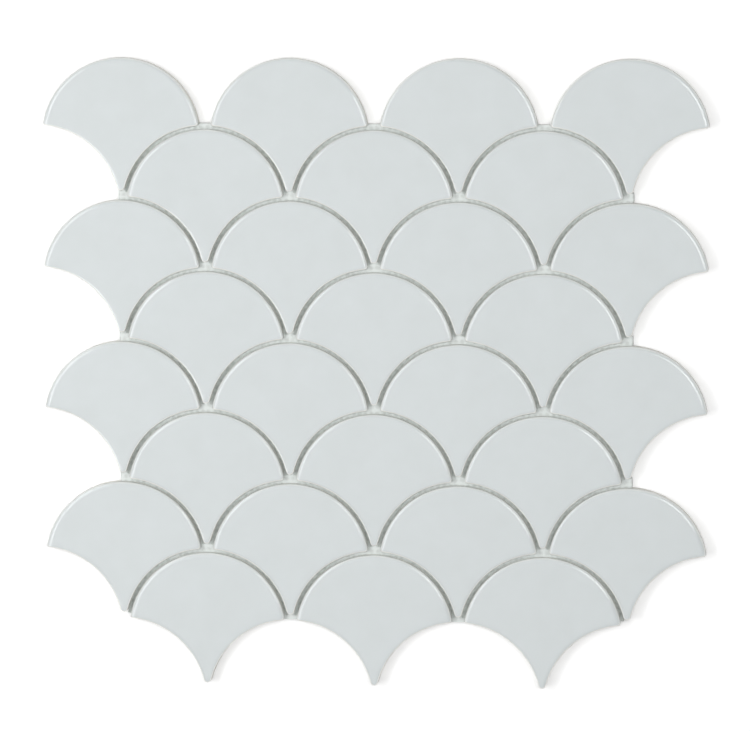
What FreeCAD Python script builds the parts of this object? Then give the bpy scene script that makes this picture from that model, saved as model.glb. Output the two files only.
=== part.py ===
import FreeCAD, Part
import math
import os
import Sketcher
from FreeCAD import Vector

# A mosaic sheet of fish-scale tiles: whole glazed scales in staggered rows, face up,
# glued by their backs to a net of glass yarn that is trimmed to the outline of the sheet.
# Millimetres. X runs along the rows, Y from the tails to the crowns, Z up through the glaze.
# The origin is under the middle of the sheet, on the underside of the net.

DRIVING_SIZES = (
    ("rows", 8, "rows of scales, the first one at the crown edge"),
    ("wide_row", 4, "scales in the odd rows, the even rows have one fewer"),
    ("scale_radius", 32.8, "radius of a scale's crown arc"),
    ("joint_width", 1.6, "grout joint between a crown and the scales above it"),
    ("tail_neck", 0.9, "what the two joints beside a tail leave between two crowns of a row"),
    ("tail_radius", 1.6, "rounded end of the tail"),
    ("tail_pocket", 3.9, "from the end of a tail down to the crown two rows below"),
    ("tip_radius", 1.0, "rounded side tips of a scale"),
    ("tile_thickness", 6.0, "bisque and glaze together"),
    ("crown_roll", 2.1, "how far in from the crown's outline the glazed face starts to roll over"),
    ("flank_roll", 0.4, "the same on the flanks and the tail, where the edge is only eased"),
    ("edge_drop", 0.9, "how far the rolled edge falls to the straight side"),
    ("face_tip_radius", 0.5, "side tips of the flat face, inside the rolled edge"),
    ("back_chamfer", 0.5, "broken edge of the back, left by the press"),
    ("yarn_pitch", 2.5, "mesh of the net"),
    ("yarn_width", 0.8, "flattened glass yarn, across"),
    ("yarn_thickness", 0.2, "flattened glass yarn, through"),
    ("net_margin", 2.4, "net left showing around the crowns that no scale covers"),
    ("net_setback", 0.3, "how far inside the scales' own edges the net is cut off elsewhere"),
)

DERIVED_SIZES = (
    ("column_pitch", "=2 * (scale_radius + joint_width) + tail_neck", "from scale to scale in a row"),
    ("tail_rise", "=sqrt((scale_radius + joint_width + tail_radius)^2 - column_pitch^2 / 4)",
     "from the crown centres of the row below up to the centre of the tail's end"),
    ("row_pitch", "=tail_pocket + scale_radius - tail_rise + tail_radius", "from row to row"),
    ("tail_length", "=row_pitch - tail_rise + tail_radius", "from the crown's centre to the tail's end"),
    ("first_row", "=((rows - 1) * row_pitch + tail_length - scale_radius) / 2",
     "crown centres of the first row above the middle of the sheet"),
    ("net_thickness", "=2 * yarn_thickness", "one layer of yarn laid across the other"),
)

# The rolled edge is a quarter of an ellipse, given by its angle at each section of the loft.
ROLL_ANGLES = (0, 22.5, 45, 67.5, 90)

doc = FreeCAD.newDocument("fish_scale_mosaic_sheet")
sizes = doc.addObject("Spreadsheet::Sheet", "sizes")
for line, (alias, value, meaning) in enumerate(DRIVING_SIZES + DERIVED_SIZES, start=1):
    sizes.set(f"A{line}", alias)
    sizes.set(f"B{line}", str(value))
    sizes.setAlias(f"B{line}", alias)
    sizes.set(f"C{line}", meaning)
doc.recompute()


def size(alias):
    return float(sizes.get(alias))


def origin_plane(body, role):
    return next(plane for plane in body.Origin.OriginFeatures if plane.Role == role)


def circle_crossing(centre, radius, other_centre, other_radius):
    """Where two circles cross, on the left of the way from the first centre to the second."""
    across = other_centre - centre
    distance = across.Length
    along = (radius**2 - other_radius**2 + distance**2) / (2 * distance)
    aside = math.sqrt(radius**2 - along**2)
    ahead = across / distance
    return centre + ahead * along + Vector(-ahead.y, ahead.x, 0) * aside


def heading(start, end):
    return math.atan2(end.y - start.y, end.x - start.x) % math.tau


def arc(centre, radius, start, end):
    """Anticlockwise arc from one heading to another, as seen from above."""
    sweep = (end - start) % math.tau
    return Part.ArcOfCircle(Part.Circle(centre, Vector(0, 0, 1), radius), start, start + sweep)


def scale_arcs(rolled):
    """The six arcs of a scale's outline: its edge where rolled is 0, its flat face where rolled is 1.

    The crown is an arc about the origin. The flanks are arcs about the crowns of the two scales
    below, so that the joint has one width all along them. Small arcs round the tips and the tail.
    """
    tip_radius = size("tip_radius") + (size("face_tip_radius") - size("tip_radius")) * rolled
    tail_radius = size("tail_radius") - size("flank_roll") * rolled
    crown_radius = size("scale_radius") - size("crown_roll") * rolled
    flank_radius = size("scale_radius") + size("joint_width") + size("flank_roll") * rolled
    crown = Vector(0, 0, 0)
    left_flank = Vector(-size("column_pitch") / 2, -size("row_pitch"), 0)
    right_flank = Vector(-left_flank.x, left_flank.y, 0)
    right_tip = circle_crossing(crown, crown_radius - tip_radius, right_flank, flank_radius + tip_radius)
    left_tip = Vector(-right_tip.x, right_tip.y, 0)
    tail_rise = math.sqrt((flank_radius + tail_radius) ** 2 - right_flank.x**2)
    tail = Vector(0, right_flank.y + tail_rise, 0)
    return (
        arc(crown, crown_radius, heading(crown, right_tip), heading(crown, left_tip)),
        arc(left_tip, tip_radius, heading(crown, left_tip), heading(left_tip, left_flank)),
        arc(left_flank, flank_radius, heading(left_flank, tail), heading(left_flank, left_tip)),
        arc(tail, tail_radius, heading(tail, left_flank), heading(tail, right_flank)),
        arc(right_flank, flank_radius, heading(right_flank, right_tip), heading(right_flank, tail)),
        arc(right_tip, tip_radius, heading(right_tip, right_flank), heading(crown, right_tip)),
    )


def scale_sketch(body, name, roll_angle, height):
    """A scale's outline at one angle of its rolled edge, held by its radii and tangencies."""
    rolled = f"(1 - cos({roll_angle} deg))"
    sketch = body.newObject("Sketcher::SketchObject", name)
    sketch.AttachmentSupport = [(origin_plane(body, "XY_Plane"), "")]
    sketch.MapMode = "FlatFace"
    sketch.setExpression("AttachmentOffset.Base.z", height)
    arcs = scale_arcs(1 - math.cos(math.radians(roll_angle)))
    crown, left_tip, left_flank, tail, right_flank, right_tip = sketch.addGeometry(list(arcs), False)
    start, end, centre = 1, 2, 3
    origin = (-1, 1)

    def hold(kind, *places):
        return sketch.addConstraint(Sketcher.Constraint(kind, *places))

    def measure(name, kind, expression, value, *places):
        sketch.renameConstraint(hold(kind, *places, value), name)
        sketch.setExpression(f"Constraints.{name}", expression)

    hold("Coincident", crown, centre, *origin)
    hold("Tangent", crown, end, left_tip, start)
    hold("Tangent", left_tip, end, left_flank, end)
    hold("Tangent", left_flank, start, tail, start)
    hold("Tangent", tail, end, right_flank, end)
    hold("Tangent", right_flank, start, right_tip, start)
    hold("Tangent", right_tip, end, crown, start)
    half_pitch = size("column_pitch") / 2
    row_pitch = size("row_pitch")
    measure("left_pitch", "DistanceX", "sizes.column_pitch / 2", half_pitch, left_flank, centre, *origin)
    measure("left_row", "DistanceY", "sizes.row_pitch", row_pitch, left_flank, centre, *origin)
    measure("right_pitch", "DistanceX", "sizes.column_pitch / 2", half_pitch, *origin, right_flank, centre)
    measure("right_row", "DistanceY", "sizes.row_pitch", row_pitch, right_flank, centre, *origin)
    crest = f"sizes.scale_radius - sizes.crown_roll * {rolled}"
    flank = f"sizes.scale_radius + sizes.joint_width + sizes.flank_roll * {rolled}"
    tip = f"sizes.tip_radius + (sizes.face_tip_radius - sizes.tip_radius) * {rolled}"
    tail_end = f"sizes.tail_radius - sizes.flank_roll * {rolled}"
    measure("crown_radius", "Radius", crest, arcs[0].Radius, crown)
    measure("left_flank_radius", "Radius", flank, arcs[2].Radius, left_flank)
    measure("right_flank_radius", "Radius", flank, arcs[4].Radius, right_flank)
    measure("tail_radius", "Radius", tail_end, arcs[3].Radius, tail)
    measure("left_tip_radius", "Radius", tip, arcs[1].Radius, left_tip)
    measure("right_tip_radius", "Radius", tip, arcs[5].Radius, right_tip)
    return sketch


def pressed_scale():
    """One scale at the origin: straight sides, a face that rolls over at its edge and a chamfered back."""
    body = doc.addObject("PartDesign::Body", "pressed_scale")
    foot = scale_sketch(body, "scale_foot", ROLL_ANGLES[0], "0")
    sides = body.newObject("PartDesign::Pad", "straight_sides")
    sides.Profile = foot
    sides.setExpression("Length", "sizes.tile_thickness - sizes.edge_drop")
    sections = []
    for number, angle in enumerate(ROLL_ANGLES, start=1):
        height = f"sizes.tile_thickness - sizes.edge_drop * (1 - sin({angle} deg))"
        sections.append(scale_sketch(body, f"roll_section_{number}", angle, height))
    doc.recompute()
    rolled_edge = body.newObject("PartDesign::AdditiveLoft", "rolled_edge")
    rolled_edge.Profile = sections[0]
    rolled_edge.Sections = sections[1:]
    rolled_edge.Ruled = True
    doc.recompute()
    edges = enumerate(rolled_edge.Shape.Edges, start=1)
    back_edges = [f"Edge{number}" for number, edge in edges if edge.BoundBox.ZMax < size("back_chamfer")]
    broken_edge = body.newObject("PartDesign::Chamfer", "broken_edge")
    broken_edge.Base = (rolled_edge, back_edges)
    broken_edge.setExpression("Size", "sizes.back_chamfer")
    body.Tip = broken_edge
    doc.recompute()
    return body


def tiles_in_row(row):
    return int(size("wide_row")) - (row + 1) % 2


def place_of_tile(row, column):
    return Vector(
        (column - (tiles_in_row(row) + 1) / 2) * size("column_pitch"),
        size("first_row") - (row - 1) * size("row_pitch"),
        0,
    )


def all_tiles():
    for row in range(1, int(size("rows")) + 1):
        for column in range(1, tiles_in_row(row) + 1):
            yield row, column


def tile(pattern, row, column):
    """One scale of the sheet, pressed in the same mould as the rest and set on the net."""
    name = f"tile_r{row}_c{column}"
    body = doc.addObject("PartDesign::Body", name)
    pressing = doc.addObject("PartDesign::FeatureBase", f"{name}_pressing")
    body.Group = [pressing]
    pressing.BaseFeature = pattern
    body.Tip = pressing
    middle_column = (tiles_in_row(row) + 1) / 2
    body.setExpression("Placement.Base.x", f"({column - middle_column}) * sizes.column_pitch")
    body.setExpression("Placement.Base.y", f"sizes.first_row - {row - 1} * sizes.row_pitch")
    body.setExpression("Placement.Base.z", "sizes.net_thickness")
    return body


def half_chord(radius, offset):
    return math.sqrt(max(radius**2 - offset**2, 0))


def net_under_scale(row, column, along_x, offset):
    """Stretches of one yarn that belong to one scale, from and to, measured from the crown's centre.

    The yarn lies at offset from that centre. The net is trimmed just inside the scale's own outline
    and covers the joint above its crown. Below a tail it goes down to the crown under it, and on the
    two sides of the sheet it ends in line with the tails.
    """
    crown = size("scale_radius") - size("net_setback")
    flank = size("scale_radius") + size("joint_width") + size("net_setback")
    half_pitch = size("column_pitch") / 2
    tail_length = size("tail_length") - size("net_setback")
    reach = size("scale_radius") + size("net_margin")
    tip = scale_arcs(0)[5].Center
    at_side = tiles_in_row(row) == size("wide_row")
    left = size("tail_radius") if at_side and column == 1 else reach
    right = size("tail_radius") if at_side and column == tiles_in_row(row) else reach
    tip_gap = half_pitch - tip.x
    pocket_top = size("tail_radius") - size("tail_length")
    pocket_floor = -size("tail_length") - size("tail_pocket") - size("joint_width")
    below_first = row > 1
    above_last_two = row < size("rows") - 1
    if along_x:
        if -tail_length < offset < crown:
            half = min(half_chord(crown, offset), half_pitch - half_chord(flank, offset + size("row_pitch")))
            yield -half, half
        if below_first and tip.y < offset < reach:
            half = half_chord(reach, offset)
            yield -min(half, left), min(half, right)
        if above_last_two and pocket_floor < offset < pocket_top:
            yield -min(tip_gap, left), min(tip_gap, right)
    else:
        if abs(offset) < crown:
            flank_top = half_chord(flank, half_pitch - abs(offset)) - size("row_pitch")
            yield max(flank_top, -tail_length), half_chord(crown, offset)
        if below_first and -left < offset < right:
            yield tip.y, half_chord(reach, offset)
        if above_last_two and -min(tip_gap, left) < offset < min(tip_gap, right):
            yield pocket_floor, pocket_top


def yarn_spans(along_x, position):
    """Where one yarn of the net starts and ends, in order. A loose end under one mesh long falls off."""
    spans = []
    for row, column in all_tiles():
        place = place_of_tile(row, column)
        offset, middle = (position - place.y, place.x) if along_x else (position - place.x, place.y)
        for start, end in net_under_scale(row, column, along_x, offset):
            if start < end:
                spans.append([middle + start, middle + end])
    joined = []
    for start, end in sorted(spans):
        if joined and start <= joined[-1][1]:
            joined[-1][1] = max(end, joined[-1][1])
        else:
            joined.append([start, end])
    return [(start, end) for start, end in joined if end - start > size("yarn_pitch")]


def yarns(name, along_x, underside):
    """One layer of straight flat yarns at the mesh of the net, cut off at its trimmed edge."""
    node = doc.addObject("Part::Feature", name)
    width = size("yarn_width")
    half_height = size("first_row") + size("scale_radius")
    half_width = size("wide_row") * size("column_pitch") / 2
    last = math.floor((half_height if along_x else half_width) / size("yarn_pitch"))
    pieces = []
    for number in range(-last, last + 1):
        position = number * size("yarn_pitch")
        for start, end in yarn_spans(along_x, position):
            length, side = (end - start, width) if along_x else (width, end - start)
            corner = (start, position - width / 2) if along_x else (position - width / 2, start)
            pieces.append(Part.makeBox(length, side, size("yarn_thickness"), Vector(*corner, 0)))
    node.Shape = Part.makeCompound(pieces)
    node.Placement = FreeCAD.Placement(Vector(0, 0, underside), FreeCAD.Rotation())
    return node


pattern = pressed_scale()
nodes = [tile(pattern, row, column) for row, column in all_tiles()]
nodes.append(yarns("net_warp_yarns", False, 0))
nodes.append(yarns("net_weft_yarns", True, size("yarn_thickness")))
doc.recompute()

for item in doc.Objects:
    if "Invalid" in item.State or "Error" in item.State:
        raise RuntimeError(f"{item.Label} did not build: {item.State}")
for node in nodes:
    if node.Shape.isNull() or not node.Shape.isValid():
        raise RuntimeError(f"{node.Label} has no valid shape")

os.makedirs("parts", exist_ok=True)
for node in nodes:
    node.Shape.exportStep(f"parts/{node.Label}.step")
    box = node.Shape.BoundBox
    print(f"{node.Label}: {len(node.Shape.Solids)} solid(s), {node.Shape.Volume:.1f} mm3, "
          f"{box.XMin:.2f}..{box.XMax:.2f}, {box.YMin:.2f}..{box.YMax:.2f}, {box.ZMin:.2f}..{box.ZMax:.2f}")
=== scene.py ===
import cmath
import math
import random

import bpy
from mathutils import Euler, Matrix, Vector


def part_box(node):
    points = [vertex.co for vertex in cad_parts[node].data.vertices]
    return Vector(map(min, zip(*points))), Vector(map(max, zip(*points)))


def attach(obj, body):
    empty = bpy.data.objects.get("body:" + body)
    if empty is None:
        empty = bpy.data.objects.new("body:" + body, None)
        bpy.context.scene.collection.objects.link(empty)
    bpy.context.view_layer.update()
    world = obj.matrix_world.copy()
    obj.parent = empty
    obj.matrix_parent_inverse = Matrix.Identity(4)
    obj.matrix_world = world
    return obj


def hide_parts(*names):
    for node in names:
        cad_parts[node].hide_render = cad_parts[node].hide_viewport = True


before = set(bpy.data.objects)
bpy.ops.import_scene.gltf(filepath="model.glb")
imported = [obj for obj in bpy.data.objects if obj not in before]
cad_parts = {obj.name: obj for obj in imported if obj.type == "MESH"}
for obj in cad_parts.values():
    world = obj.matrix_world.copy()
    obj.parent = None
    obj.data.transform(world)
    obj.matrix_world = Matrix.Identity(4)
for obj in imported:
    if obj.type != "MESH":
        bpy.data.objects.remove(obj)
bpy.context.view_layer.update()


# Scale tiles. Dust-pressed stoneware scales with a poured glaze that rolls over the edge of the face
# and stops at an uneven line, with the side below it and the back left bare. They lie in staggered
# rows with even joints, each flank following the crown of the next row, and are glued to the net.
MM = 0.001
SCALE_RADIUS = 32.8 * MM
JOINT_WIDTH = 1.6 * MM
TIP_RADIUS = 1.0 * MM
TAIL_RADIUS = 1.6 * MM
FACE_TIP_RADIUS = 0.5 * MM
CROWN_ROLL = 2.1 * MM
CROWN_DROP = 0.9 * MM
FLANK_ROLL = 1.5 * MM
FLANK_DROP = 0.22 * MM
FLANK_ARRIS = 0.25 * MM
ARRIS_STEEPNESS = 3
ROLL_STEPS = 9
BACK_CHAMFER = 0.5 * MM
BACK_EASE = BACK_CHAMFER * 0.3
BARE_HEIGHT = 4.4 * MM
BARE_WANDER = 0.22 * MM
BARE_WAVES = (3, 7, 11)
FACE_WAVE = 0.018 * MM
FACE_WAVE_LENGTH = 19.0 * MM
FACE_WAVES = 4
# Painted highlight: a paler colour on the rolled rings next to the arris, full on the flanks, half on
# the crown.
PAINTED_HIGHLIGHT_END = 0.3
PAINTED_HIGHLIGHT_ON_CROWN = 0.5
FACE_INSETS = tuple(size * MM for size in (0.35, 1.4, 3.2, 5.6, 8.6, 11.6, 14.2, 16.2))
CROWN_STEPS = 44
TIP_STEPS = 6
FLANK_STEPS = 18
TAIL_STEPS = 9
TILE_SEED = 100


def tile_middle(node):
    low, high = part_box(node)
    return complex((low[0] + high[0]) / 2, high[1] - SCALE_RADIUS)


column_pitch = (tile_middle("tile_r1_c2") - tile_middle("tile_r1_c1")).real
row_pitch = (tile_middle("tile_r1_c1") - tile_middle("tile_r2_c1")).imag
right_neighbour = complex(column_pitch / 2, -row_pitch)
left_neighbour = complex(-column_pitch / 2, -row_pitch)


def circle_crossing(radius, far_centre, far_radius):
    reach = abs(far_centre)
    along = (radius ** 2 - far_radius ** 2 + reach ** 2) / (2 * reach)
    aside = math.sqrt(radius ** 2 - along ** 2)
    return far_centre / reach * complex(along, aside)


def arc_points(centre, radius, start, end, turn, steps):
    first = cmath.phase(start - centre)
    sweep = (cmath.phase(end - centre) - first) * turn % (2 * math.pi) * turn
    return [centre + cmath.rect(radius, first + sweep * step / steps) for step in range(steps)]


def scale_outline(rolled, inset):
    tip_radius = max(TIP_RADIUS + (FACE_TIP_RADIUS - TIP_RADIUS) * rolled - inset, FACE_TIP_RADIUS)
    tail_radius = max(TAIL_RADIUS - FLANK_ROLL * rolled - inset, FACE_TIP_RADIUS)
    crown_radius = SCALE_RADIUS - CROWN_ROLL * rolled - inset
    flank_radius = SCALE_RADIUS + JOINT_WIDTH + FLANK_ROLL * rolled + inset
    right_tip = circle_crossing(crown_radius - tip_radius, right_neighbour, flank_radius + tip_radius)
    left_tip = complex(-right_tip.real, right_tip.imag)
    tail_rise = math.sqrt((flank_radius + tail_radius) ** 2 - (column_pitch / 2) ** 2)
    tail = complex(0, tail_rise - row_pitch)
    return (arc_points(0, crown_radius, right_tip, left_tip, 1, CROWN_STEPS)
            + arc_points(left_tip, tip_radius, 2 * left_tip, left_neighbour, 1, TIP_STEPS)
            + arc_points(left_neighbour, flank_radius, left_tip, tail, -1, FLANK_STEPS)
            + arc_points(tail, tail_radius, left_neighbour, right_neighbour, 1, TAIL_STEPS)
            + arc_points(right_neighbour, flank_radius, tail, right_tip, -1, FLANK_STEPS)
            + arc_points(right_tip, tip_radius, right_neighbour, 2 * right_tip, 1, TIP_STEPS))


def flank_share(step, count):
    return max(0.0, min((step - CROWN_STEPS) / TIP_STEPS, (count - step) / TIP_STEPS, 1.0))


def glazed_scale(name, node, draw):
    low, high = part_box(node)
    middle = tile_middle(node)
    height = high[2] - low[2]
    waves = [(cmath.rect(2 * math.pi / FACE_WAVE_LENGTH, draw.uniform(0, math.pi)),
              draw.uniform(0, 2 * math.pi)) for wave in range(FACE_WAVES)]
    wander = [(turns, draw.uniform(0, 2 * math.pi)) for turns in BARE_WAVES]
    back = [(0.0, BACK_CHAMFER, 0.0, 0.0), (0.0, BACK_EASE, BACK_EASE, BACK_EASE),
            (0.0, 0.0, BACK_CHAMFER, BACK_CHAMFER)]
    glaze_line = [(0.0, 0.0, BARE_HEIGHT, BARE_HEIGHT)]
    roll = []
    for step in range(ROLL_STEPS + 1):
        turned = step / ROLL_STEPS
        angle = math.pi / 2 * turned
        arris = FLANK_ARRIS * max(0.0, 1 - ARRIS_STEEPNESS * turned)
        roll.append((1 - math.cos(angle), 0.0, height - CROWN_DROP * (1 - math.sin(angle)),
                     height - FLANK_DROP * math.cos(angle) ** 2 - arris))
    face = [(1.0, inset, height, height) for inset in FACE_INSETS]
    profile = back + glaze_line + roll + face
    vertices = []
    arris_painted_highlight = []
    for rolled, inset, crown_rise, flank_rise in profile:
        ring = scale_outline(rolled, inset)
        for step, point in enumerate(ring):
            turn = 2 * math.pi * step / len(ring)
            share = flank_share(step, len(ring))
            rise = crown_rise + (flank_rise - crown_rise) * share
            # Painted highlight share for this point of the ring, next to the arris.
            highlight_share = PAINTED_HIGHLIGHT_ON_CROWN + (1 - PAINTED_HIGHLIGHT_ON_CROWN) * share
            arris_painted_highlight.append(highlight_share if 0.0 < rolled < PAINTED_HIGHLIGHT_END else 0.0)
            lift = 0.0
            if rise == BARE_HEIGHT:
                lift = BARE_WANDER * sum(math.sin(turns * turn + phase)
                                         for turns, phase in wander) / len(wander)
            elif rise > BARE_HEIGHT:
                lift = FACE_WAVE * sum(math.sin((point * number.conjugate()).real + phase) - 1
                                       for number, phase in waves) / len(waves)
            place = middle + point
            vertices.append((place.real, place.imag, low[2] + rise + lift))
    count = len(ring)
    faces = [tuple(reversed(range(count)))]
    for level in range(len(profile) - 1):
        for step in range(count):
            after = (step + 1) % count
            faces.append((level * count + step, level * count + after,
                          (level + 1) * count + after, (level + 1) * count + step))
    faces.append(tuple(range((len(profile) - 1) * count, len(profile) * count)))
    mesh = bpy.data.meshes.new(name)
    mesh.from_pydata(vertices, [], faces)
    mesh.shade_smooth()
    mesh.attributes.new("arris_painted_highlight", "FLOAT", "POINT").data.foreach_set("value", arris_painted_highlight)
    bare_faces = 1 + len(back) * count
    mesh.materials.append(glaze)
    mesh.materials.append(bisque)
    for polygon in mesh.polygons[:bare_faces]:
        polygon.material_index = 1
    piece = bpy.data.objects.new(name, mesh)
    bpy.context.collection.objects.link(piece)
    return piece


def linear(hex_colour):
    parts = [int(hex_colour[place:place + 2], 16) / 255 for place in (1, 3, 5)]
    return [part / 12.92 if part <= 0.04045 else ((part + 0.055) / 1.055) ** 2.4
            for part in parts] + [1.0]


def add_node(material, kind, inputs, **settings):
    tree = material.node_tree
    node = tree.nodes.new("ShaderNode" + kind)
    for name, value in settings.items():
        setattr(node, name, value)
    for name, value in inputs.items():
        if isinstance(value, bpy.types.NodeSocket):
            tree.links.new(value, node.inputs[name])
        else:
            node.inputs[name].default_value = value
    return node


MIX_SHARE = 0
MIX_FIRST = 6
MIX_SECOND = 7
MIX_RESULT = 2


def new_material(name):
    material = bpy.data.materials.new(name)
    material.use_nodes = True
    material.node_tree.nodes.clear()
    return material


# Tin-white gloss glaze with a drop of blue-grey, poured and fired: an even, cool, milky colour under
# a glassy skin, faintly rippled like orange peel, that draws bright streaks along the rolled edges,
# with a painted highlight, a paler colour, along the arris.
glaze = new_material("tin_white_gloss_glaze")
GLAZE_COLOUR = linear("#D5DBDB")
GLAZE_POOL_COLOUR = linear("#DBE1E2")
GLAZE_PAINTED_HIGHLIGHT_COLOUR = linear("#F4F4F0")
GLAZE_CLOUD = 11.0 * MM
GLAZE_PEEL = 3.5 * MM
GLAZE_PEEL_DEPTH = 0.004 * MM
GLAZE_SMOOTHEST = 0.09
GLAZE_ROUGHEST = 0.14
place = add_node(glaze, "TexCoord", {}).outputs["Object"]
cloud = add_node(glaze, "TexNoise", {"Vector": place, "Scale": 1 / GLAZE_CLOUD, "Detail": 2.0})
tone = add_node(glaze, "Mix", {
    MIX_SHARE: cloud.outputs[0], MIX_FIRST: GLAZE_COLOUR, MIX_SECOND: GLAZE_POOL_COLOUR},
    data_type="RGBA")
# Painted highlight: the paler colour along the arris, read from the mesh attribute.
arris = add_node(glaze, "Attribute", {}, attribute_name="arris_painted_highlight")
coat = add_node(glaze, "Mix", {
    MIX_SHARE: arris.outputs["Fac"], MIX_FIRST: tone.outputs[MIX_RESULT], MIX_SECOND: GLAZE_PAINTED_HIGHLIGHT_COLOUR},
    data_type="RGBA")
sheen = add_node(glaze, "MapRange", {
    "Value": cloud.outputs[0], "To Min": GLAZE_SMOOTHEST, "To Max": GLAZE_ROUGHEST})
peel = add_node(glaze, "TexNoise", {"Vector": place, "Scale": 1 / GLAZE_PEEL, "Detail": 1.0})
ripple = add_node(glaze, "Bump", {"Height": peel.outputs[0], "Distance": GLAZE_PEEL_DEPTH})
shader = add_node(glaze, "BsdfPrincipled", {
    "Base Color": coat.outputs[MIX_RESULT], "Roughness": sheen.outputs[0], "IOR": 1.5,
    "Normal": ripple.outputs[0]})
add_node(glaze, "OutputMaterial", {"Surface": shader.outputs[0]})

# Unglazed stoneware bisque, dust-pressed and fired: a chalky warm white, matt and finely grained.
bisque = new_material("stoneware_bisque")
BISQUE_COLOUR = linear("#F1F0EB")
BISQUE_SHADE_COLOUR = linear("#E4E3DC")
BISQUE_GRIT = 0.35 * MM
BISQUE_GRIT_DEPTH = 0.02 * MM
place = add_node(bisque, "TexCoord", {}).outputs["Object"]
grit = add_node(bisque, "TexNoise", {"Vector": place, "Scale": 1 / BISQUE_GRIT, "Detail": 3.0})
tone = add_node(bisque, "Mix", {
    MIX_SHARE: grit.outputs[0], MIX_FIRST: BISQUE_SHADE_COLOUR, MIX_SECOND: BISQUE_COLOUR},
    data_type="RGBA")
grain = add_node(bisque, "Bump", {"Height": grit.outputs[0], "Distance": BISQUE_GRIT_DEPTH})
shader = add_node(bisque, "BsdfPrincipled", {
    "Base Color": tone.outputs[MIX_RESULT], "Roughness": 0.85, "IOR": 1.5, "Normal": grain.outputs[0]})
add_node(bisque, "OutputMaterial", {"Surface": shader.outputs[0]})

tile_nodes = sorted(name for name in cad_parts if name.startswith("tile_"))
for number, tile_node in enumerate(tile_nodes):
    scale_name = "glazed_scale" + tile_node[len("tile"):]
    scale = glazed_scale(scale_name, tile_node, random.Random(TILE_SEED + number))
    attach(scale, "root")
    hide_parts(tile_node)


# Mounting net. A plain-woven glass yarn scrim, dipped in white acrylic size so that it holds its
# square mesh, cut along the outline of the sheet and glued across the backs of the tiles.
YARN_PITCH = 2.5 * MM
YARN_WIDTH = 0.8 * MM
net_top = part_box("net_weft_yarns")[1][2]
yarn_thickness = net_top / 2


def yarn_runs(node, along, across):
    ends = {}
    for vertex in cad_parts[node].data.vertices:
        ends.setdefault(round(vertex.co[across] / YARN_PITCH), set()).add(round(vertex.co[along], 6))
    runs = []
    for line, stops in sorted(ends.items()):
        stops = sorted(stops)
        runs += [(line, start, end) for start, end in zip(stops[::2], stops[1::2])]
    return runs


def woven_yarns(name, runs, along, across, parity):
    section = [(YARN_WIDTH / 2, 0.0), (0.0, yarn_thickness / 2),
               (-YARN_WIDTH / 2, 0.0), (0.0, -yarn_thickness / 2)]
    if along == 1:
        section.reverse()
    count = len(section)
    vertices = []
    faces = []
    for line, start, end in runs:
        halves = range(math.floor(start / YARN_PITCH * 2) + 1, math.ceil(end / YARN_PITCH * 2))
        stops = [(start, 0)]
        for half in halves:
            at_crossing = 1 - half % 2
            stops.append((half * YARN_PITCH / 2, at_crossing * (-1) ** (half // 2 + line + parity)))
        stops.append((end, 0))
        first = len(vertices)
        for place, side in stops:
            middle = net_top / 2 + side * yarn_thickness / 2
            for aside, lift in section:
                corner = [0.0, 0.0, middle + lift]
                corner[along] = place
                corner[across] = line * YARN_PITCH + aside
                vertices.append(corner)
        for ring in range(first, len(vertices) - count, count):
            faces += [(ring + step, ring + (step + 1) % count, ring + count + (step + 1) % count,
                       ring + count + step) for step in range(count)]
        faces.append(tuple(range(first + count - 1, first - 1, -1)))
        faces.append(tuple(range(len(vertices) - count, len(vertices))))
    return net_piece(name, vertices, faces, glass_yarn)


def net_piece(name, vertices, faces, material):
    mesh = bpy.data.meshes.new(name)
    mesh.from_pydata(vertices, [], faces)
    mesh.materials.append(material)
    piece = bpy.data.objects.new(name, mesh)
    bpy.context.collection.objects.link(piece)
    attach(piece, "root")
    return piece


# Glass yarn sized with acrylic: bright white filaments with a soft silky shine along the yarn.
glass_yarn = new_material("acrylic_sized_glass_yarn")
YARN_COLOUR = linear("#F4F4F1")
YARN_SHADE_COLOUR = linear("#E6E6E1")
FILAMENT = 0.12 * MM
place = add_node(glass_yarn, "TexCoord", {}).outputs["Object"]
strand = add_node(glass_yarn, "TexNoise", {"Vector": place, "Scale": 1 / FILAMENT, "Detail": 2.0})
tone = add_node(glass_yarn, "Mix", {
    MIX_SHARE: strand.outputs[0], MIX_FIRST: YARN_SHADE_COLOUR, MIX_SECOND: YARN_COLOUR},
    data_type="RGBA")
shader = add_node(glass_yarn, "BsdfPrincipled", {
    "Base Color": tone.outputs[MIX_RESULT], "Roughness": 0.55, "IOR": 1.5})
add_node(glass_yarn, "OutputMaterial", {"Surface": shader.outputs[0]})

warp_runs = yarn_runs("net_warp_yarns", 1, 0)
weft_runs = yarn_runs("net_weft_yarns", 0, 1)
warp = woven_yarns("woven_warp", warp_runs, 1, 0, 0)
warp.data.shade_smooth()
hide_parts("net_warp_yarns")
weft = woven_yarns("woven_weft", weft_runs, 0, 1, 1)
weft.data.shade_smooth()
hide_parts("net_weft_yarns")


# Glue film and beads. White glue that held the tiles to the net while it dried: it closed the meshes
# along the joints with a thin skin, lies flat in the pockets under the tails, and was pressed up
# between crowns and flanks as low beads with a sagging top when the tiles were set.
FILM_THICKNESS = 0.08 * MM
FILM_REACH = 1.2 * MM
TAIL_CUT = 0.7
BEAD_HEIGHT = 1.6 * MM
BEAD_SWELL = 1.7 * MM
BEAD_SAG = 0.35 * MM
BEAD_WANDER = 0.15 * MM
BEAD_CLEARANCE = 0.03 * MM
BEAD_STEPS = 40
BEAD_SEED = 300
TAIL_LEAD = 1.8 * MM
TAIL_RAMP_STEPS = 2
POCKET_RUN_OUT = 1.8 * MM
POCKET_BANK = 0.4 * MM
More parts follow.
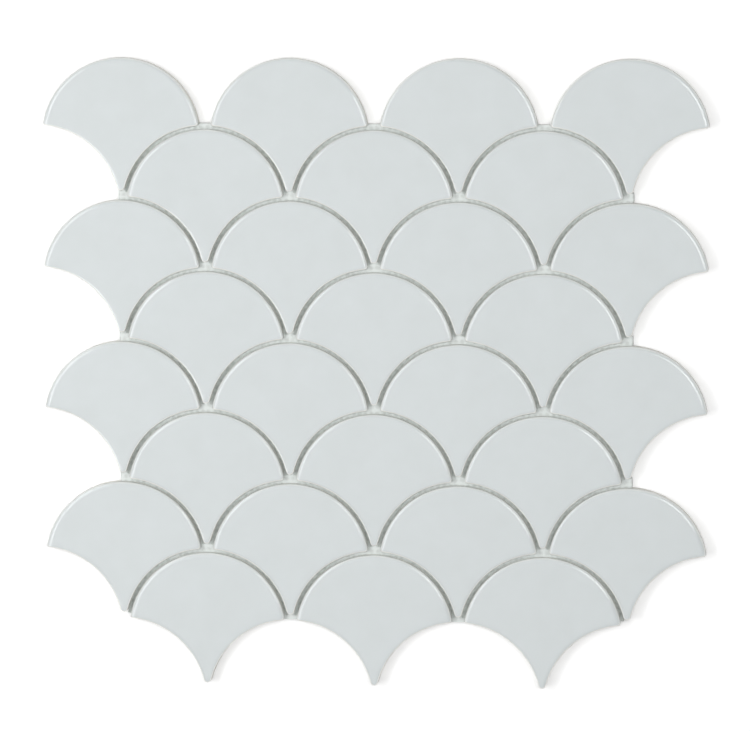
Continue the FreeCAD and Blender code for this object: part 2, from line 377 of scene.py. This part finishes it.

# Dried white glue: milky, with a soft satin shine and small ripples, and a painted shade that
# greys it towards the middle of each mesh, where the openings under it would lie in shade.
dried_glue = new_material("dried_white_glue")
GLUE_COLOUR = linear("#DEE3E1")
GLUE_PAINTED_SHADE_COLOUR = linear("#CCD1CE")
GLUE_CLOUD = 1.6 * MM
GLUE_RIPPLE_DEPTH = 0.05 * MM
PAINTED_SHADE_FULL_AT = 0.6
PAINTED_SHADE_GONE_AT = 1.0
MESH_MIDDLE = (0.5, 0.5, 0.0)
place = add_node(dried_glue, "TexCoord", {}).outputs["Object"]
cloud = add_node(dried_glue, "TexNoise", {"Vector": place, "Scale": 1 / GLUE_CLOUD, "Detail": 2.0})
# Painted shade: greyer towards the middle of each mesh of the net, with some random spread.
meshes = add_node(dried_glue, "VectorMath", {
    0: place, 1: (1 / YARN_PITCH, 1 / YARN_PITCH, 0.0)}, operation="MULTIPLY")
in_mesh = add_node(dried_glue, "VectorMath", {0: meshes.outputs[0]}, operation="FRACTION")
off_middle = add_node(dried_glue, "VectorMath", {
    0: in_mesh.outputs[0], 1: MESH_MIDDLE}, operation="DISTANCE")
uneven = add_node(dried_glue, "Math", {0: off_middle.outputs["Value"], 1: cloud.outputs[0]})
body = add_node(dried_glue, "MapRange", {
    "Value": uneven.outputs[0], "From Min": PAINTED_SHADE_FULL_AT, "From Max": PAINTED_SHADE_GONE_AT})
tone = add_node(dried_glue, "Mix", {
    MIX_SHARE: body.outputs[0], MIX_FIRST: GLUE_PAINTED_SHADE_COLOUR, MIX_SECOND: GLUE_COLOUR},
    data_type="RGBA")
ripple = add_node(dried_glue, "Bump", {"Height": cloud.outputs[0], "Distance": GLUE_RIPPLE_DEPTH})
shader = add_node(dried_glue, "BsdfPrincipled", {
    "Base Color": tone.outputs[MIX_RESULT], "Roughness": 0.4, "IOR": 1.48, "Normal": ripple.outputs[0]})
add_node(dried_glue, "OutputMaterial", {"Surface": shader.outputs[0]})


def under_a_tile(point):
    for middle in tile_middles:
        away = point - middle
        if (abs(away) < SCALE_RADIUS - FILM_REACH and away.imag > -row_pitch * TAIL_CUT
                and abs(away - right_neighbour) > SCALE_RADIUS + JOINT_WIDTH + FILM_REACH
                and abs(away - left_neighbour) > SCALE_RADIUS + JOINT_WIDTH + FILM_REACH):
            return True
    return False


tile_middles = [tile_middle(name) for name in tile_nodes]
held_by_warp = {(line, stop) for line, start, end in warp_runs
                for stop in range(math.ceil(start / YARN_PITCH), math.floor(end / YARN_PITCH))}
held_by_weft = {(stop, line) for line, start, end in weft_runs
                for stop in range(math.ceil(start / YARN_PITCH), math.floor(end / YARN_PITCH))}
vertices = []
faces = []
for column, row in sorted(held_by_warp & held_by_weft):
    if (column + 1, row) not in held_by_warp or (column, row + 1) not in held_by_weft:
        continue
    if under_a_tile(complex(column + 0.5, row + 0.5) * YARN_PITCH):
        continue
    first = len(vertices)
    for level in (-0.5, 0.5):
        for x, y in ((0, 0), (1, 0), (1, 1), (0, 1)):
            vertices.append(((column + x) * YARN_PITCH, (row + y) * YARN_PITCH,
                             net_top / 2 + level * FILM_THICKNESS))
    faces += [(first + 3, first + 2, first + 1, first), (first + 4, first + 5, first + 6, first + 7)]
    faces += [(first + step, first + (step + 1) % 4, first + 4 + (step + 1) % 4, first + 4 + step)
              for step in range(4)]
net_piece("glue_film", vertices, faces, dried_glue)

vertices = []
faces = []
inner = SCALE_RADIUS + BEAD_CLEARANCE
outer = SCALE_RADIUS + JOINT_WIDTH - BEAD_CLEARANCE
tail_rise = math.sqrt((SCALE_RADIUS + JOINT_WIDTH + TAIL_RADIUS) ** 2 - (column_pitch / 2) ** 2)
tail_end = complex(0, row_pitch + tail_rise)
above = complex(column_pitch / 2, row_pitch)
tip = circle_crossing(SCALE_RADIUS - TIP_RADIUS, right_neighbour,
                      SCALE_RADIUS + JOINT_WIDTH + TIP_RADIUS)
tip = above + complex(-tip.real, tip.imag)
tip_phase = cmath.phase(tip)
tail_phase = cmath.phase(complex(column_pitch / 2, tail_rise))
lead_phase = tail_phase - TAIL_LEAD / SCALE_RADIUS
tail_side = above - cmath.rect(outer, -tail_phase)
lead_side = above - cmath.rect(inner, -lead_phase)

# Right halves of the fillings between the beads. The shelf follows the crown and the tip of the next
# tile up. The pocket goes on along that tile's flank and round the tail above. The foot is a pocket
# with no crown under it, in the notches of the last row.
shelf = arc_points(complex(0, 0), inner, complex(0, inner), tip, -1, TIP_STEPS)
shelf.append(cmath.rect(inner, tip_phase))
shelf += arc_points(tip, TIP_RADIUS + BEAD_CLEARANCE, complex(0, 0), 2 * tip - above, -1, TIP_STEPS)
pocket = shelf + [lead_side]
pocket += arc_points(above, outer, lead_side, tail_side, -1, TIP_STEPS)
pocket += arc_points(tail_end, TAIL_RADIUS + BEAD_CLEARANCE, above, complex(0, 0), -1, TIP_STEPS)
pocket.append(tail_end - complex(0, TAIL_RADIUS + BEAD_CLEARANCE))
foot = arc_points(complex(0, 0), outer, complex(0, outer), tip, -1, TIP_STEPS) + pocket[TIP_STEPS + 1:]
pocket_top = net_top + BEAD_HEIGHT + BEAD_SWELL - BEAD_SAG
draw = random.Random(BEAD_SEED)


def stands(place):
    return any(abs(place - middle) < JOINT_WIDTH for middle in tile_middles)


def add_prism(first, count, mirrored):
    sides = [tuple(range(first + count - 1, first - 1, -1)),
             tuple(range(len(vertices) - count, len(vertices)))]
    for ring in range(first, len(vertices) - count, count):
        sides += [(ring + corner, ring + (corner + 1) % count, ring + count + (corner + 1) % count,
                   ring + count + corner) for corner in range(count)]
    faces.extend([side[::-1] for side in sides] if mirrored else sides)


notches = [middle + right_neighbour for middle in tile_middles
           if stands(middle + column_pitch) and not stands(middle + right_neighbour)]
for crown in tile_middles + notches:
    right_stands, left_stands = [stands(crown + complex(side * column_pitch / 2, row_pitch))
                                 for side in (1, -1)]
    for side, wanted in ((1, right_stands), (-1, left_stands)):
        if not wanted or crown in notches:
            continue
        first = len(vertices)
        for step in range(BEAD_STEPS + 1):
            ray = cmath.rect(1, lead_phase + (tip_phase - lead_phase) * step / BEAD_STEPS)
            swell = max(step / BEAD_STEPS, 1 - step / TAIL_RAMP_STEPS)
            top = net_top + BEAD_HEIGHT + BEAD_SWELL * swell + draw.uniform(-BEAD_WANDER, 0)
            section = ((inner, net_top), (outer, net_top), (outer, top),
                       ((2 * outer + inner) / 3, top - BEAD_SAG),
                       ((outer + 2 * inner) / 3, top - BEAD_SAG), (inner, top))
            vertices += [(crown.real + side * radius * ray.real, crown.imag + radius * ray.imag, rise)
                         for radius, rise in section]
        add_prism(first, len(section), side == 1)
    half = pocket if stands(crown + complex(0, 2 * row_pitch)) else shelf
    if crown in notches:
        half = foot
    if not (right_stands and left_stands or half is pocket and (right_stands or left_stands)):
        continue
    outline = half if right_stands else []
    if left_stands:
        outline = outline + [complex(-point.real, point.imag) for point in reversed(half)
                             if point.real > BEAD_CLEARANCE or not right_stands]
    first = len(vertices)
    open_side = left_stands - right_stands
    for rise, run_out in ((net_top, POCKET_RUN_OUT), (pocket_top, POCKET_RUN_OUT - POCKET_BANK)):
        for point in outline:
            run = open_side * run_out if abs(point.real) < BEAD_CLEARANCE else 0.0
            vertices.append((crown.real + point.real + run, crown.imag + point.imag, rise))
    add_prism(first, len(outline), False)
net_piece("glue_beads", vertices, faces, dried_glue)


# Studio. A matt white card for a floor, a soft strip lamp on the left and on the right, a broad
# ceiling panel that the flat faces mirror and an even surround, with the camera high above the sheet
# and a little towards its upper right corner.
FLOOR_REACH = 6.0
FLOOR_GAP = 0.02 * MM
mesh = bpy.data.meshes.new("floor")
mesh.from_pydata([(-FLOOR_REACH, -FLOOR_REACH, 0), (FLOOR_REACH, -FLOOR_REACH, 0),
                  (FLOOR_REACH, FLOOR_REACH, 0), (-FLOOR_REACH, FLOOR_REACH, 0)], [], [(0, 1, 2, 3)])
floor = bpy.data.objects.new("floor", mesh)
floor.location.z = -FLOOR_GAP
bpy.context.collection.objects.link(floor)

# Matt white studio card: even, keeps the sheet's shadow, and shows a little brighter than it is lit.
card = new_material("matt_white_studio_card")
CARD_COLOUR = linear("#F8F8F7")
CARD_SHOWN_COLOUR = linear("#FFFFFF")
CARD_LIFT = 0.2
path = add_node(card, "LightPath", {})
mirrored = add_node(card, "Math", {
    0: path.outputs["Is Glossy Ray"], 1: path.outputs["Is Transmission Ray"]})
seen = add_node(card, "Math", {0: path.outputs["Is Camera Ray"], 1: mirrored.outputs[0]}, use_clamp=True)
shown = add_node(card, "Mix", {
    MIX_SHARE: seen.outputs[0], MIX_FIRST: CARD_COLOUR, MIX_SECOND: CARD_SHOWN_COLOUR},
    data_type="RGBA")
lift = add_node(card, "Math", {0: seen.outputs[0], 1: CARD_LIFT}, operation="MULTIPLY")
matt = add_node(card, "BsdfDiffuse", {"Color": shown.outputs[MIX_RESULT]})
glow = add_node(card, "Emission", {"Strength": lift.outputs[0]})
shader = add_node(card, "AddShader", {0: matt.outputs[0], 1: glow.outputs[0]})
add_node(card, "OutputMaterial", {"Surface": shader.outputs[0]})
floor.data.materials.append(card)

SURROUND_STRENGTH = 0.196
world = bpy.data.worlds.new("studio_surround")
bpy.context.scene.world = world
world.use_nodes = True
surround = world.node_tree.nodes["Background"]
surround.inputs["Color"].default_value = (1.0, 1.0, 1.0, 1.0)
surround.inputs["Strength"].default_value = SURROUND_STRENGTH


def soft_lamp(name, azimuth, elevation, distance, width, height, power):
    lamp = bpy.data.lights.new(name, "AREA")
    lamp.shape = "RECTANGLE"
    lamp.size = width
    lamp.size_y = height
    lamp.energy = power
    holder = bpy.data.objects.new(name, lamp)
    direction = Vector((math.cos(math.radians(elevation)) * math.cos(math.radians(azimuth)),
                        math.cos(math.radians(elevation)) * math.sin(math.radians(azimuth)),
                        math.sin(math.radians(elevation))))
    holder.location = direction * distance
    holder.rotation_euler = direction.to_track_quat("Z", "Y").to_euler()
    holder.visible_camera = False
    bpy.context.collection.objects.link(holder)


soft_lamp("left_strip_lamp", azimuth=177, elevation=56, distance=0.8,
          width=0.68, height=0.22, power=2.4)
soft_lamp("right_strip_lamp", azimuth=22, elevation=66, distance=1.1,
          width=0.42, height=0.26, power=2.95)
soft_lamp("ceiling_panel", azimuth=140, elevation=80, distance=2.42,
          width=2.0, height=2.0, power=17.0)

CAMERA_LENS = 200.3
CAMERA_REACH = 50.0
CAMERA_PLACE = (171.83 * MM, 202.9 * MM, 1700.0 * MM)
CAMERA_TURN = (-6.674, 5.769, -0.058)
camera = bpy.data.cameras.new("camera")
camera.sensor_fit = "HORIZONTAL"
camera.sensor_width = 36.0
camera.lens = CAMERA_LENS
camera.clip_end = CAMERA_REACH
viewpoint = bpy.data.objects.new("camera", camera)
viewpoint.location = CAMERA_PLACE
viewpoint.rotation_euler = Euler([math.radians(turn) for turn in CAMERA_TURN])
bpy.context.collection.objects.link(viewpoint)
bpy.context.scene.camera = viewpoint
bpy.context.scene.view_settings.view_transform = "Standard"
